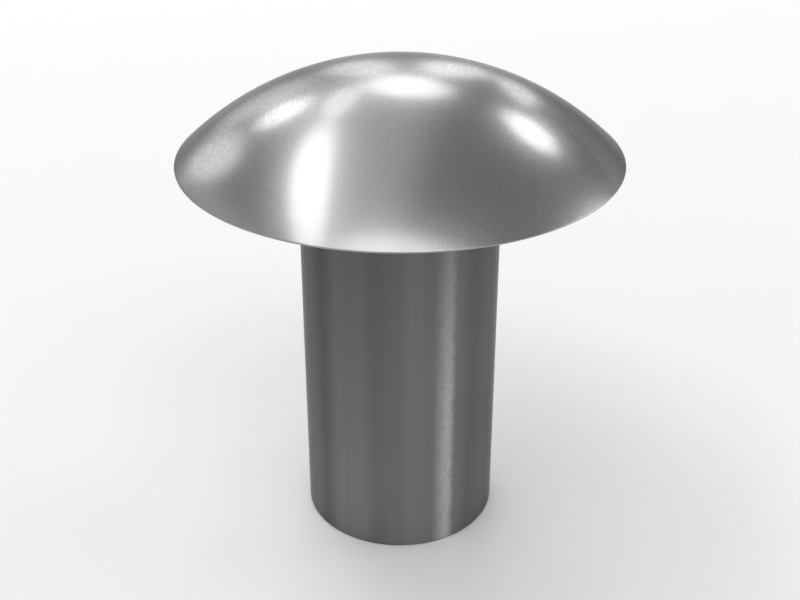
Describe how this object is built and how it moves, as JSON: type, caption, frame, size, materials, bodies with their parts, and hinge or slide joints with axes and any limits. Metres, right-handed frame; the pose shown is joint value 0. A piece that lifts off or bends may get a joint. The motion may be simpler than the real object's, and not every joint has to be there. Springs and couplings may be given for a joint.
{
  "type": "hollow rivet",
  "caption": "Steel rivet with a low domed head and a plain round shank, bored from the tail so that its thin wall can be rolled over.",
  "frame": {"origin": "centre of the head's flat bearing face, on the rivet's axis", "axes": "+Z along the axis towards the crown of the head; the shank runs along -Z to the tail, where the bore opens"},
  "size_m": [0.013, 0.013, 0.0146],
  "materials": {
    "steel": "tumbled plain steel, satin, with faint drawing lines down the shank"
  },
  "bodies": {
    "root": {"hollow_rivet": "steel"}
  },
  "joints": []
}
